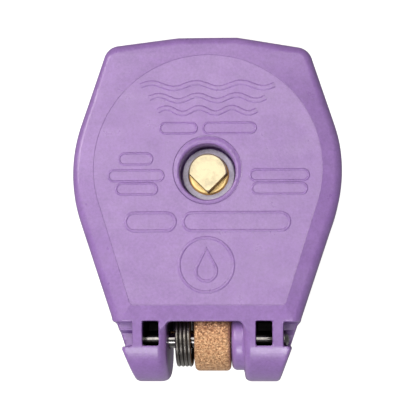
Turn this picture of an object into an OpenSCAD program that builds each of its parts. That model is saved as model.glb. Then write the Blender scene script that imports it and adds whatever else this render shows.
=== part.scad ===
// Quick coupling valve with a sprung, lockable cover, in millimetres.
// Origin at the centre of the inlet mouth, +Z up the valve axis, hinge toward -Y.

/* [Valve body] */
// Radius of the inlet's thread wall
inlet_r = 14.7; // [14.4:0.1:15.0]
// Depth of the inlet's thread
inlet_len = 20; // [18:0.5:20.5]
// Hexagon round the inlet, across its flats
inlet_af = 44.5; // [42:0.5:46]
// Outer radius of the lower chamber
chamber_r = 26; // [25.5:0.1:27]
// Inner radius of the lower chamber
chamber_bore_r = 21.5; // [21.2:0.1:22]
// Outer radius of the collar where the two bodies screw together
collar_r = 30; // [29:0.5:31]
// Radius of the screwed joint between the two bodies
joint_r = 24.5; // [24.3:0.1:24.7]
// Hexagon on the upper body, across its flats
upper_af = 54; // [52:0.5:56]
// Radius of the throat that takes the coupler key
throat_r = 17; // [16.9:0.1:17.2]
// Radius that the key's lugs turn in
lug_track_r = 20.5; // [20.2:0.1:20.8]
// Width of the two slots that let the lugs in
lug_slot_w = 10; // [9:0.5:11]
// Outer radius of the top rim
rim_r = 28.5; // [28:0.1:29]

/* [Hinge] */
// Distance from the valve axis to the hinge pin
hinge_y = 47; // [46.8:0.1:47.2]
// Radius of the steel hinge pin
pin_r = 2.5; // [2.4:0.05:2.6]
// Radius of the bronze lug round the pin
lug_r = 8.9; // [8.6:0.1:9.0]
// Mean radius of the torsion spring's coils
coil_r = 7.2; // [7:0.1:7.3]
// Radius of the torsion spring's wire
coil_wire_r = 0.56; // [0.5:0.01:0.6]

/* [Cover] */
// Radius of the cover's bulging sides
cover_side_r = 43.4; // [42:0.05:44]
// Wall of the cover's skirt
skirt_wall = 3; // [2.5:0.1:3.4]
// Radius of the raised panel on the cover
panel_r = 32.3; // [31.5:0.1:32.6]
// Length of the hinge arms past the pin
arm_end = 12.2; // [11.5:0.1:12.5]
// Radius of the arms' noses in side view
nose_r = 13.9; // [13:0.1:14.5]
// Radius of the key well over the lock
well_r = 7.95; // [7.8:0.05:8.2]
// Height of the raised marks on the panel
relief_h = 0.3; // [0.2:0.05:0.5]

/* [Valve] */
// Radius of the poppet
poppet_r = 19; // [18.5:0.1:19.5]
// Radius of the poppet's stem
stem_r = 3; // [2.8:0.1:3.2]
// Mean radius of the poppet's spring
spring_r = 8.5; // [8.2:0.1:9]
// Radius of the poppet spring's wire
spring_wire_r = 0.9; // [0.7:0.1:1.0]

/* [Hidden] */
$fn = 96;

bronze = [0.72, 0.50, 0.34];
brass = [0.80, 0.66, 0.36];
steel = [0.60, 0.60, 0.62];
purple = [0.56, 0.42, 0.72];
rubber = [0.08, 0.08, 0.09];

gap = 0.05;

// Heights, from the inlet up
inlet_hex_z = inlet_len + 2;
ledge_z = 26;
seat_z = 60;
joint_z = 62;
collar_z = 74;
upper_hex_z = 84;
track_z = [82, 90];
latch_track_z = [103.8, 110.3];
rim_z = 118;
pin_z = rim_z - 2.5;
skirt_z = rim_z - 11;
plate_z = rim_z + 5.6;
border_z = rim_z + 9.4;
top_z = rim_z + 10;
seal_z = [68, 78];
joint_recess_z = collar_z - 2.1;

// Lock, from the cover's face down
well_z = top_z - 9.5;
bush_z = [rim_z - 7, well_z + 2];
boss_z = rim_z - 4;
spindle_head_z = top_z - 2;
shoulder_z = well_z - 0.4;
washer_z = bush_z[0] - 0.45;
thrust_z = washer_z - 0.85;
latch_z = thrust_z - 3.4;
latch_t = 3.35;
screw_z = latch_z - 2;
spindle_r = 5.76;
step_r = 5.35;
shank_r = 4.5;
bush_r = 7.45;
bush_thread_r = 6.5;

// Places along the hinge
lug_x = [-4, 6.4];
gap_x = [-10.5, 10.6];
knuckle_x = 6.75;
pin_x = [-21.4, 22.8];
coil_x = -9.4;
coil_pitch = 1.2;
coil_turns = 3.75;
edge_y = -42;

// Valve
guide_hub_r = 5.5;
stem_z = 30;
disc_z = 54;
spring_z = [ledge_z + 3, disc_z];

function arc(c, r, a0, a1, n) =
    [for (i = [0:n]) c + r * [cos(a0 + (a1 - a0) * i / n), sin(a0 + (a1 - a0) * i / n)]];
function flip(points) = [for (i = [len(points) - 1:-1:0]) [-points[i][0], points[i][1]]];
function both(points) = concat(points, flip(points));

// Right half of the cover's outline, drawn in by d
function cover_side(d) = concat(
    [[26.57 - d, -42.3 + d]],
    arc([38.3 - cover_side_r, 0], cover_side_r - d, -18.4, 18.3, 18),
    arc([25.11, 31.55], max(4.8 - d, 0.3), 18.3, 82, 6),
    [[8, 38.8 - d]]);

// Right half of the raised panel's outline
function panel_side() = concat(
    [[21.9, -37.5]],
    arc([0, 1.1], panel_r, -17.6, 90, 30));

// Right-hand hinge arm seen from above, mirrored for the left one
arm_plan = concat(
    [[10.5, -36], [10.5, -56.9]],
    arc([12.5, -56.9], 2, 180, 270, 5),
    arc([18.6, -56.7], 2.2, 270, 337, 5),
    [[23.9, -49.7], [24.1, -49], [23.5, -49], [25.6, -42.7], [26.57, -42.3], [28.3, -36]]);

// Hinge arm seen from the side, its top sloping down to a round nose
arm_top = [-48.8, border_z - 1.4];
nose_y = nose_r - arm_end - hinge_y;
nose_z = arm_top[1] - sqrt(nose_r * nose_r - pow(arm_top[0] - nose_y, 2));
arm_side = concat(
    [[-36, skirt_z], [-36, border_z - 0.2]],
    arc([nose_y, nose_z], nose_r, 90 + asin((nose_y - arm_top[0]) / nose_r), 180, 14),
    arc([9 - arm_end - hinge_y, pin_z - arm_end + 9], 9, 182, 270, 12));

// Wire swept along a path of points, round sections standing on the radial directions
module wire(path, radial, r, sides = 10) {
    n = len(path);
    function along(i) = let(d = path[min(i + 1, n - 1)] - path[max(i - 1, 0)]) d / norm(d);
    function ring(i) = let(t = along(i), u0 = radial[i] - (radial[i] * t) * t,
                           u = u0 / norm(u0), v = cross(t, u))
        [for (k = [0:sides - 1]) path[i] + r * (cos(360 * k / sides) * u
                                              + sin(360 * k / sides) * v)];
    points = [for (i = [0:n - 1]) each ring(i)];
    walls = [for (i = [0:n - 2], k = [0:sides - 1])
        [i * sides + k, (i + 1) * sides + k,
         (i + 1) * sides + (k + 1) % sides, i * sides + (k + 1) % sides]];
    first = [for (k = [0:sides - 1]) k];
    last = [for (k = [sides - 1:-1:0]) (n - 1) * sides + k];
    polyhedron(points, concat(walls, [first, last]));
}

module along_x(x0, x1, r) {
    translate([x0, -hinge_y, pin_z])
        rotate([0, 90, 0])
            cylinder(h = x1 - x0, r = r);
}

module hex_bar(af, z0, z1) {
    corner = af / 2 / cos(30);
    bevel = (corner - af / 2) / 2;
    intersection() {
        translate([0, 0, z0])
            cylinder(h = z1 - z0, r = corner, $fn = 6);
        rotate_extrude()
            polygon([[0, z0], [af / 2, z0], [corner, z0 + bevel],
                     [corner, z1 - bevel], [af / 2, z1], [0, z1]]);
    }
}

// ---- valve body ----

module lower_body() {
    color(bronze)
    difference() {
        union() {
            hex_bar(inlet_af, 0, inlet_hex_z);
            rotate_extrude()
                polygon([[0, 10], [inlet_af / 2 - 1, 10], [inlet_af / 2 - 1, inlet_hex_z + 1],
                         [chamber_r, ledge_z + 4], [chamber_r, seat_z - 5],
                         [collar_r, seat_z], [collar_r, collar_z - 0.8],
                         [collar_r - 0.8, collar_z], [0, collar_z]]);
        }
        rotate_extrude()
            polygon([[0, -1], [inlet_r, -1], [inlet_r, inlet_len], [18, ledge_z],
                     [chamber_bore_r, ledge_z], [chamber_bore_r, seat_z - 2.5],
                     [joint_r, joint_z - 0.5], [joint_r, joint_recess_z],
                     [joint_r + 2.2, joint_recess_z], [joint_r + 2.2, collar_z + 1],
                     [0, collar_z + 1]]);
    }
}

module hinge_lug() {
    width = lug_x[1] - lug_x[0];
    translate([lug_x[0], -hinge_y, pin_z])
        rotate([0, 90, 0])
            rotate_extrude()
                polygon([[0, 0], [lug_r - 0.9, 0], [lug_r, 0.9], [lug_r, width - 0.9],
                         [lug_r - 0.9, width], [0, width]]);
    translate([lug_x[0], 0, 0])
        rotate([90, 0, 90])
            linear_extrude(height = width)
                polygon([[-hinge_y, pin_z - 8.5], [-40, pin_z - 8.5], [-24, pin_z - 17],
                         [-20, pin_z - 17], [-20, rim_z], [-33, rim_z],
                         [-hinge_y + 3, pin_z + 5.5]]);
}

module upper_body() {
    tube_r = lug_track_r + 4;
    color(bronze)
    difference() {
        union() {
            rotate_extrude()
                polygon([[0, seat_z + gap], [17.5, seat_z + gap], [17.5, joint_z],
                         [joint_r - 0.8, joint_z], [joint_r - gap, joint_z + 0.8],
                         [joint_r - gap, collar_z + 1], [0, collar_z + 1]]);
            hex_bar(upper_af, collar_z + gap, upper_hex_z);
            rotate_extrude()
                polygon([[0, collar_z + 2], [tube_r, collar_z + 2], [tube_r, rim_z - 10],
                         [rim_r, rim_z - 6], [rim_r, rim_z - 0.8], [rim_r - 0.8, rim_z],
                         [0, rim_z]]);
            hinge_lug();
        }
        rotate_extrude()
            polygon([[0, seat_z - 1], [15.5, seat_z - 1], [15.5, joint_z + 1.5],
                     [throat_r, joint_z + 3], [throat_r, seal_z[0]], [21, seal_z[0]],
                     [21, seal_z[1]], [throat_r, seal_z[1]], [throat_r, track_z[0]],
                     [lug_track_r, track_z[0]], [lug_track_r, track_z[1]],
                     [throat_r, track_z[1]], [throat_r, latch_track_z[0]],
                     [lug_track_r, latch_track_z[0]], [lug_track_r, latch_track_z[1]],
                     [throat_r, latch_track_z[1]], [throat_r, rim_z - 1],
                     [throat_r + 1, rim_z], [throat_r + 1, rim_z + 1], [0, rim_z + 1]]);
        intersection() {
            translate([-lug_track_r - 1, -lug_slot_w / 2, track_z[0] + 1])
                cube([2 * lug_track_r + 2, lug_slot_w, rim_z]);
            translate([0, 0, track_z[0] + 1])
                cylinder(h = rim_z, r = lug_track_r);
        }
        along_x(lug_x[0] - 1, lug_x[1] + 1, pin_r + 0.06);
        translate([lug_x[0] - 1, coil_r - hinge_y, pin_z])
            rotate([0, 90, 0])
                cylinder(h = 3, r = coil_wire_r + 0.25, $fn = 32);
    }
}

module body_oring() {
    color(rubber)
    translate([0, 0, joint_recess_z + 1.05])
        rotate_extrude()
            translate([joint_r + 1.1, 0])
                circle(r = 1, $fn = 32);
}

module throat_seal() {
    color(rubber)
    rotate_extrude()
        polygon([[16.6, seal_z[0] + 0.6], [17.4, seal_z[0] + gap], [20.9, seal_z[0] + gap],
                 [20.9, seal_z[1] - gap], [19.7, seal_z[1] - gap], [19.3, seal_z[0] + 3.4],
                 [18.1, seal_z[0] + 3.2], [16.9, seal_z[1] - 2.4], [16.4, seal_z[1] - 3]]);
}

// ---- poppet valve ----

module stem_guide() {
    color(brass)
    difference() {
        union() {
            translate([0, 0, ledge_z + gap])
                difference() {
                    cylinder(h = 3 - gap, r = chamber_bore_r - 0.1);
                    translate([0, 0, -1])
                        cylinder(h = 5, r = 18);
                }
            translate([0, 0, ledge_z + gap])
                cylinder(h = 3 - gap, r = 10.5);
            translate([0, 0, ledge_z + gap])
                cylinder(h = 10, r = guide_hub_r);
            for (turn = [0:120:240])
                rotate([0, 0, turn + 30])
                    translate([5, -1.75, ledge_z + gap])
                        cube([14, 3.5, 3 - gap]);
        }
        translate([0, 0, ledge_z - 1])
            cylinder(h = 14, r = stem_r + 0.06);
        for (turn = [0:60:300])
            rotate([0, 0, turn])
                translate([8, 0, ledge_z - 1])
                    cylinder(h = 5, r = 1.4, $fn = 24);
    }
}

module poppet() {
    color(brass)
    difference() {
        rotate_extrude()
            polygon([[0, stem_z], [stem_r - 0.5, stem_z], [stem_r, stem_z + 0.5],
                     [stem_r, disc_z - 6], [6, disc_z - 5], [6, disc_z],
                     [poppet_r - 0.5, disc_z], [poppet_r, disc_z + 0.5],
                     [poppet_r, disc_z + 3.2], [poppet_r - 1, disc_z + 3.2],
                     [poppet_r - 1, disc_z + 2], [4.9, disc_z + 2], [4.9, seat_z], [0, seat_z]]);
        translate([0, 0, disc_z - 4])
            cylinder(h = 20, r = 2.45);
    }
}

module poppet_washer() {
    color(rubber)
    translate([0, 0, disc_z + 2])
        difference() {
            cylinder(h = seat_z - disc_z - 2, r = poppet_r - 1.1);
            translate([0, 0, -1])
                cylinder(h = 10, r = 5);
        }
}

module poppet_clamp() {
    color(brass)
    difference() {
        rotate_extrude()
            polygon([[0, seat_z], [12, seat_z], [12, seat_z + 1.4],
                     [11.4, seat_z + 2], [0, seat_z + 2]]);
        translate([0, 0, seat_z - 1])
            cylinder(h = 5, r = 2.5);
    }
}

module poppet_screw() {
    color(steel)
    difference() {
        rotate_extrude()
            polygon([[0, disc_z - 3], [2, disc_z - 3], [2.4, disc_z - 2.6], [2.4, seat_z + 2],
                     [5, seat_z + 2], [5, seat_z + 4.4], [4.4, seat_z + 5], [0, seat_z + 5]]);
        translate([-6, -0.6, seat_z + 3.6])
            cube([12, 1.2, 3]);
    }
}

module poppet_spring() {
    turns = 6;
    steps = turns * 24;
    low = spring_z[0] + spring_wire_r + 0.05;
    high = spring_z[1] - spring_wire_r - 0.05;
    lead = 2 * spring_wire_r + 0.05;
    // the first and last turns lie closed, the rest share the height evenly
    function rise(u) = u < 1 ? lead * u
        : u > turns - 1 ? high - low - lead * (turns - u)
        : lead + (high - low - 2 * lead) * (u - 1) / (turns - 2);
    radial = [for (i = [0:steps]) [cos(15 * i), sin(15 * i), 0]];
    color(steel)
    wire([for (i = [0:steps]) spring_r * radial[i] + [0, 0, low + rise(i / 24)]],
         radial, spring_wire_r);
}

// ---- cover ----

module cover_shell() {
    difference() {
        translate([0, 0, skirt_z])
            linear_extrude(height = border_z - skirt_z)
                polygon(both(cover_side(0)));
        translate([0, 0, skirt_z - 1])
            linear_extrude(height = plate_z - skirt_z + 1)
                polygon(both(cover_side(skirt_wall)));
    }
    translate([0, 0, border_z - 1])
        linear_extrude(height = top_z - border_z + 1)
            polygon(both(panel_side()));
}

module cover_ribs() {
    for (turn = [30:60:330])
        rotate([0, 0, turn])
            translate([10, -0.9, rim_z + 1.8])
                cube([18, 1.8, plate_z - rim_z]);
}

module cover_arms() {
    for (side = [0, 1])
        mirror([side, 0, 0])
            intersection() {
                rotate([90, 0, 90])
                    linear_extrude(height = 40)
                        polygon(arm_side);
                translate([0, 0, skirt_z - 20])
                    linear_extrude(height = 60)
                        polygon(arm_plan);
            }
}

module cover_boss() {
    translate([0, 0, boss_z])
        cylinder(h = plate_z - boss_z + 1, r = 11.5);
    translate([0, 0, top_z - 0.5])
        cylinder(h = 0.5 + relief_h, r = 9.6);
}

// A water drop in a ring, three waves and plain bars
module cover_relief() {
    translate([0, 0, top_z - 0.2])
        linear_extrude(height = relief_h + 0.2) {
            translate([-0.3, -26.3]) {
                difference() {
                    circle(r = 8.1);
                    circle(r = 7.2);
                }
                circle(r = 3, $fn = 48);
                polygon([[-2.6, 1.5], [2.6, 1.5], [0, 5.6]]);
            }
            for (row = [0:2])
                translate([0, 24.6 - 3.4 * row])
                    polygon(wave(38 - 5 * row, 1.3));
            translate([-13.5, 11.9])
                square([27, 1.3]);
            for (row = [0:2])
                translate([-28 + 0.6 * row, 3.6 - 4.4 * row])
                    square([15 - row, 1.8]);
            for (row = [0:1])
                translate([12.2, -1.4 - 4.4 * row])
                    square([16 - 2 * row, 1.8]);
            translate([-22.5, -15.2])
                square([45, 2.4]);
        }
}

function wave(length, t) = let(n = 36,
    line = [for (i = [0:n]) [length * (i / n - 0.5), 0.75 * sin(1080 * i / n)]])
    concat([for (p = line) p + [0, t / 2]],
           [for (i = [n:-1:0]) line[i] - [0, t / 2]]);

module cover_cuts() {
    // gap between the arms, for the lug, the spring and the knuckle
    translate([gap_x[0], edge_y - 30, skirt_z - 20])
        cube([gap_x[1] - gap_x[0], 30, 60]);
    translate([gap_x[0], edge_y - 1, skirt_z - 20])
        cube([gap_x[1] - gap_x[0], 12, plate_z - skirt_z + 20]);
    // windows over the pin
    for (x = [-18.4, 13.5])
        translate([x, -48.8, pin_z - 7.5])
            cube([4.6, 6.9, 40]);
    // side notches, with a half-round cradle below
    for (x = [-40, 21.2])
        translate([x, -49, pin_z])
            cube([18.8, 6.8, 40]);
    along_x(-40, 40, pin_r + 0.02);
    // lock
    translate([0, 0, well_z])
        cylinder(h = 20, r = well_r);
    translate([0, 0, boss_z - 1])
        cylinder(h = 20, r = bush_thread_r + gap);
    // tail of the torsion spring
    translate([gap_x[0] - 2, -hinge_y, pin_z - coil_r])
        rotate([0, 90, 0])
            cylinder(h = 3, r = coil_wire_r + 0.25, $fn = 32);
}

module cover() {
    color(purple)
    union() {
        difference() {
            union() {
                cover_shell();
                cover_ribs();
                cover_arms();
                cover_boss();
                cover_relief();
            }
            cover_cuts();
        }
        difference() {
            along_x(knuckle_x, gap_x[1] + 0.5, 8.6);
            along_x(knuckle_x - 1, gap_x[1] + 2, pin_r + 0.02);
        }
    }
}

module hinge_pin() {
    dome = 1.4;
    length = pin_x[1] - pin_x[0];
    color(steel)
    translate([pin_x[0], -hinge_y, pin_z])
        rotate([0, 90, 0])
            rotate_extrude()
                polygon(concat([[0, 0], [pin_r - 0.4, 0], [pin_r, 0.4]],
                               [for (a = [0:15:90]) [pin_r * cos(a),
                                                     length - dome + dome * sin(a)]]));
}

module hinge_spring() {
    steps = coil_turns * 24;
    coil = [for (i = [0:steps]) [coil_x + coil_pitch * i / 24, -90 - 15 * i]];
    route = concat([[gap_x[0] - 1.6, -90], [coil_x - 0.9, -90], [coil_x - 0.35, -91.5]],
                   [for (i = [1:steps - 1]) coil[i]],
                   [[coil[steps][0] + 0.35, -90 - 15 * steps + 1.5],
                    [lug_x[0] + 0.6, -90 - 15 * steps], [lug_x[0] + 1.5, -90 - 15 * steps]]);
    radial = [for (p = route) [0, cos(p[1]), sin(p[1])]];
    color(steel)
    translate([0, -hinge_y, pin_z])
        wire([for (i = [0:len(route) - 1]) [route[i][0], 0, 0] + coil_r * radial[i]],
             radial, coil_wire_r);
}

// ---- lock ----

module lock_bush() {
    color(steel)
    difference() {
        rotate_extrude()
            polygon([[shank_r + 0.06, bush_z[0]], [bush_thread_r - 0.4, bush_z[0]],
                     [bush_thread_r, bush_z[0] + 0.4], [bush_thread_r, well_z + gap],
                     [bush_r, well_z + gap], [bush_r, bush_z[1] - 0.15],
                     [bush_r - 0.15, bush_z[1]], [spindle_r + 0.16, bush_z[1]],
                     [spindle_r + 0.06, bush_z[1] - 0.1], [spindle_r + 0.06, shoulder_z],
                     [shank_r + 0.06, shoulder_z]]);
        // index notch
        translate([0, -spindle_r, bush_z[1] - 0.8])
            rotate([0, 0, 45])
                translate([-0.7, -0.7, 0])
                    cube([1.4, 1.4, 2]);
    }
}

module lock_nut() {
    color(brass)
    difference() {
        hex_bar(19, bush_z[0] + 0.3, boss_z - gap);
        cylinder(h = rim_z, r = bush_thread_r + gap);
    }
}

module lock_spindle() {
    oring_z = bush_z[0] + 2.6;
    color(brass)
    difference() {
        union() {
            rotate_extrude()
                polygon([[0, latch_z + 3.6], [shank_r, latch_z + 3.6], [shank_r, oring_z],
                         [shank_r - 1.2, oring_z], [shank_r - 1.2, oring_z + 1.5],
                         [shank_r, oring_z + 1.5], [shank_r, shoulder_z + gap],
                         [spindle_r, shoulder_z + gap], [spindle_r, bush_z[1] - 1.3],
                         [step_r, bush_z[1] - 1.3], [step_r, bush_z[1]], [0, bush_z[1]]]);
            translate([0, 0, latch_z])
                linear_extrude(height = 4)
                    intersection() {
                        circle(r = shank_r);
                        square([7, 10], center = true);
                    }
            intersection() {
                rotate_extrude()
                    polygon([[0, bush_z[1] - 1], [5.45, bush_z[1] - 1],
                             [5.45, spindle_head_z - 0.4], [5.05, spindle_head_z],
                             [0, spindle_head_z]]);
                translate([0, 0, bush_z[1] - 1])
                    linear_extrude(height = 10)
                        polygon([[-5.5, 0], [0, -5.5], [5.5, 0], [5.5, 6], [-5.5, 6]]);
            }
        }
        // narrow groove at the foot of the key's V-shaped flats
        translate([0, 0, bush_z[1] - 0.9])
            linear_extrude(height = 2)
                polygon([[-6, 0], [0, -6], [6, 0], [5.5, 0], [0, -5.5], [-5.5, 0]]);
        translate([0, 0, latch_z - 1])
            cylinder(h = 8, r = 2.05);
    }
}

module lock_oring() {
    color(rubber)
    translate([0, 0, bush_z[0] + 3.35])
        rotate_extrude()
            translate([shank_r - 0.6, 0])
                circle(r = 0.58, $fn = 24);
}

module flat_ring(z, t, r_out, r_in) {
    translate([0, 0, z])
        difference() {
            cylinder(h = t, r = r_out);
            translate([0, 0, -1])
                cylinder(h = t + 2, r = r_in);
        }
}

module wave_washer() {
    color(steel)
    flat_ring(washer_z, 0.4, 6.9, shank_r + 0.2);
}

module thrust_washer() {
    color(steel)
    flat_ring(thrust_z, 0.8, 8, shank_r + 0.1);
}

module latch_bar() {
    color(steel)
    translate([0, 0, latch_z])
        difference() {
            linear_extrude(height = latch_t)
                union() {
                    square([33, 6], center = true);
                    circle(r = 7.5);
                    for (side = [-1, 1])
                        translate([side * 16.5, 0])
                            circle(r = 3, $fn = 48);
                }
            translate([0, 0, -1])
                linear_extrude(height = latch_t + 2)
                    intersection() {
                        circle(r = shank_r + 0.05);
                        square([7.1, 11], center = true);
                    }
        }
}

module latch_screw() {
    color(steel)
    difference() {
        rotate_extrude()
            polygon([[0, screw_z], [5, screw_z], [5.5, screw_z + 0.5],
                     [5.5, latch_z - gap], [2, latch_z - gap],
                     [2, latch_z + 6], [1.6, latch_z + 6.5], [0, latch_z + 6.5]]);
        translate([0, 0, screw_z - 1])
            cylinder(h = 2, r = 2.3, $fn = 6);
    }
}

lower_body();
upper_body();
body_oring();
throat_seal();
stem_guide();
poppet();
poppet_washer();
poppet_clamp();
poppet_screw();
poppet_spring();
cover();
hinge_pin();
hinge_spring();
lock_bush();
lock_nut();
lock_spindle();
lock_oring();
wave_washer();
thrust_washer();
latch_bar();
latch_screw();
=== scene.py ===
"""Looks of the quick coupling valve: purple locking cover, cast bronze body, steel hinge.

Shapes are worked out in millimetres, in the frame that the CAD uses, and turned into metres
when a mesh is made. X runs along the hinge pin, +Y away from it, Z up the valve axis.
"""
import math

import bpy
import numpy as np
from mathutils import Matrix, Vector


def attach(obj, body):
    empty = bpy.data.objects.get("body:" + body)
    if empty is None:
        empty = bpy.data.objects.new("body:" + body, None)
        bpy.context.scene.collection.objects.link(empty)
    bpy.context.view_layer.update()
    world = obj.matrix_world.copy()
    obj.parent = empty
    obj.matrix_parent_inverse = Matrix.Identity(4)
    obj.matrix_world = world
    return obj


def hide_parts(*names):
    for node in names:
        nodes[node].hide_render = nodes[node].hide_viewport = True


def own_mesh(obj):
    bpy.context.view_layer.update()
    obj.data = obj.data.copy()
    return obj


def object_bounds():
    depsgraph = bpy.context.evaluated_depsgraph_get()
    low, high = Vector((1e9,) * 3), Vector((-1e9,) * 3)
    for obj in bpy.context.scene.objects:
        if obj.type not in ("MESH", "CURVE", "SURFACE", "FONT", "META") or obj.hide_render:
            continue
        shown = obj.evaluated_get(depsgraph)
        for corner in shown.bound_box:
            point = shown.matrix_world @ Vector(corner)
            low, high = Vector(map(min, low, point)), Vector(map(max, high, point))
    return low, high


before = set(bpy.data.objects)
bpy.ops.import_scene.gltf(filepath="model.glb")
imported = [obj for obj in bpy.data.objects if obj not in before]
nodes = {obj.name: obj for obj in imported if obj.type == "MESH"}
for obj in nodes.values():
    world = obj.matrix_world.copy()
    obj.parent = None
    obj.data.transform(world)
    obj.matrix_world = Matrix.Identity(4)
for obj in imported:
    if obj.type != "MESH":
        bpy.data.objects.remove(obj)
cad_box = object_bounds()

MM = 0.001

# ---------------------------------------------------------------- measures, in millimetres

RIM_Z = 118.0
TOP_Z = RIM_Z + 10
PLATE_Z = RIM_Z + 5.6
SKIRT_Z = RIM_Z - 11
BOSS_Z = RIM_Z - 4

PIN_Y = -47.0
PIN_Z = RIM_Z - 2.5
PIN_R = 2.5
LUG_X = (-4.0, 6.2)
LUG_R = 8.9
KNUCKLE_X = 6.5
GAP_X = (-10.9, 10.0)
GAP_LEAN = 0.05
EDGE_Y = -42.0
END_Y = PIN_Y - 12.2
NOSE_R = 13.9
NOSE_START = (-48.8, TOP_Z - 2)
WINDOW_X = (-18.4, 13.5)
WINDOW_WIDTH = 4.6
WINDOW_Y = (-48.8, -41.9)
NOTCH_X = 21.2
NOTCH_Y = (-49, -42.2)

# the cover from above
SIDE_X = 38.5
SIDE_R = 43.6
SIDE_ANGLES = (-18.6, 18.3)
SIDE_SHIFT = 0.2
ARM_GROWTH = (0.55, -0.35)
SHOULDER_ANGLES = (83.4, 80.5)
FRONT_X = 8.4
FRONT_Y = 39.0
PANEL_CENTRE_Y = 1.1
PANEL_R = 32.3
PANEL_ANGLES = (-17.6, 90)
PANEL_LOW_Y = -37.5

# the cover's face and underside
BORDER_SLOPE = 0.2
FRONT_EASING = 0.09
BACK_SLOPE = 0.176
LIP_R = 9.7
LIP_Y = 0.5
LIP_HEIGHT = 0.3
DRAFT = 0.01
WALL = 3.0
WELL_R = 7.95
WELL_Z = TOP_Z - 9.5
BUSH_HOLE_R = 6.55
BOSS_R = 11.5
RIB_TURNS = (30, 90, 150)
RIB_HALF_WIDTH = 0.9
RIB_REACH = 28
RIB_Z = RIM_Z + 1.8
KNUCKLE_R = 8.7
MARK_HEIGHT = 0.2
SPINDLE_TOP = TOP_Z - 2

# castings
INLET_HEX = 44.5
INLET_R = 14.75
THREAD_END_Z = 20
THREAD_PITCH = 2.2
THREAD_DEPTH = 0.75
CHAMBER_R = 26
COLLAR_R = 30
UPPER_HEX = 54
TUBE_R = 24.5
PLUG_R = 24.4
RIM_R = 28.5
LOWER_BORE = [
    (0, 19), (INLET_R, 19), (INLET_R, 20), (18, 26), (21.5, 26), (21.5, 57.5),
    (24.55, 61.5), (24.55, 71.9), (26.7, 71.9), (26.7, 75), (0, 75)]
UPPER_BORE = [
    (0, 59), (15.5, 59), (15.5, 63.5), (17, 65), (17, 68), (21, 68), (21, 78), (17, 78),
    (17, 82), (20.5, 82), (20.5, 90), (17, 90), (17, 103.8), (20.5, 103.8), (20.5, 110.3),
    (17, 110.3), (17, 117), (18, 118), (18, 120), (0, 120)]

# pin and springs
PIN_X = (-21.4, 22.8)
PIN_DOME = 1.4
KNURL_X = (18.6, 21.4)
KNURL_DEPTH = 0.12
KNURL_TEETH = 30
COIL_R = 7.2
COIL_WIRE_R = 0.555
COIL_X = -9.5
COIL_PITCH = 1.12
COIL_TURNS = 4.25
SPRING_R = 8.5
SPRING_WIRE_R = 0.9
SPRING_Z = (29, 54)
SPRING_TURNS = 6
WIRE_STEPS = 36  # points in each turn of a coil


# ---------------------------------------------------------------- distance fields

def rounded_max(a, b, r, lean=0.0):
    """Where both fields hold, with the edge between them rounded to radius r.

    lean is the cosine of the angle between the directions in which the two fields grow.
    """
    u, v = a + r, b + r
    away = np.sqrt(np.maximum(u * u + v * v - 2 * lean * u * v, 0) / (1 - lean * lean)) - r
    return np.where((u > lean * v) & (v > lean * u), away, np.maximum(a, b))


def rounded_min(a, b, r):
    """Where either field holds, with the corner between them filled to radius r."""
    return -rounded_max(-a, -b, r)


def cut(a, b, r=0.3):
    """Field a with field b taken out, the rim rounded to radius r."""
    return rounded_max(a, -b, r)


def slab(v, low, high):
    """Distance outside the span from low to high."""
    return abs(v - (low + high) / 2) - (high - low) / 2


def block(x, y, z, low, high, r=0.2):
    """A box with rounded edges."""
    d = rounded_max(slab(x, low[0], high[0]), slab(y, low[1], high[1]), r)
    return rounded_max(d, slab(z, low[2], high[2]), r)


def turned(x, y, centre_y, radius, lowest, highest):
    """An arc about (0, centre_y) that runs on as straight tangents past its two end angles."""
    x, y = abs(x), y - centre_y
    a = np.clip(np.arctan2(y, x), math.radians(lowest), math.radians(highest))
    return x * np.cos(a) + y * np.sin(a) - radius


def polygon(x, y, points):
    """Signed distance to a polygon, negative inside."""
    best = np.full(np.broadcast(x, y).shape, 1e9)
    inside = np.zeros(best.shape, bool)
    for (ax, ay), (bx, by) in zip(points, points[1:] + points[:1]):
        ex, ey = bx - ax, by - ay
        t = np.clip(((x - ax) * ex + (y - ay) * ey) / (ex * ex + ey * ey), 0, 1)
        best = np.minimum(best, (x - ax - t * ex) ** 2 + (y - ay - t * ey) ** 2)
        if ay != by:
            inside ^= ((ay > y) != (by > y)) & (x < ex * (y - ay) / ey + ax)
    return np.where(inside, -1, 1) * np.sqrt(best)


def arc(cx, cy, r, start, end, steps=12):
    """Points along an arc, its two angles in degrees."""
    turns = [math.radians(start + (end - start) * i / steps) for i in range(steps + 1)]
    return [(cx + r * math.cos(a), cy + r * math.sin(a)) for a in turns]


def hexagon(x, y, across):
    """A hexagon with two corners on the X axis, across its flats."""
    slant = abs(x) * math.cos(math.radians(30)) + abs(y) * math.sin(math.radians(30))
    return np.maximum(abs(y), slant) - across / 2


def from_pin(y, z):
    """Distance from the hinge pin's axis."""
    return np.hypot(y - PIN_Y, z - PIN_Z)


# ---------------------------------------------------------------- meshes

CORNERS = [(i, j, k) for i in (0, 1) for j in (0, 1) for k in (0, 1)]
OFF_LINE = 9  # stands for any distance too far from a line to matter


def net_points(value, cells):
    """One point in each cell that the surface crosses: the mean of where it meets the edges."""
    total, hits = np.zeros((len(cells), 3)), np.zeros(len(cells))
    for a in CORNERS:
        for axis in (n for n in range(3) if not a[n]):
            b = tuple(1 if n == axis else a[n] for n in range(3))
            va, vb = (value[tuple((cells + corner).T)] for corner in (a, b))
            hit = (va < 0) != (vb < 0)
            point = np.tile(np.array(a, float), (len(cells), 1))
            point[:, axis] += np.where(hit, va / np.where(hit, va - vb, 1), 0)
            total += point * hit[:, None]
            hits += hit
    return cells + total / hits[:, None]


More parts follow.
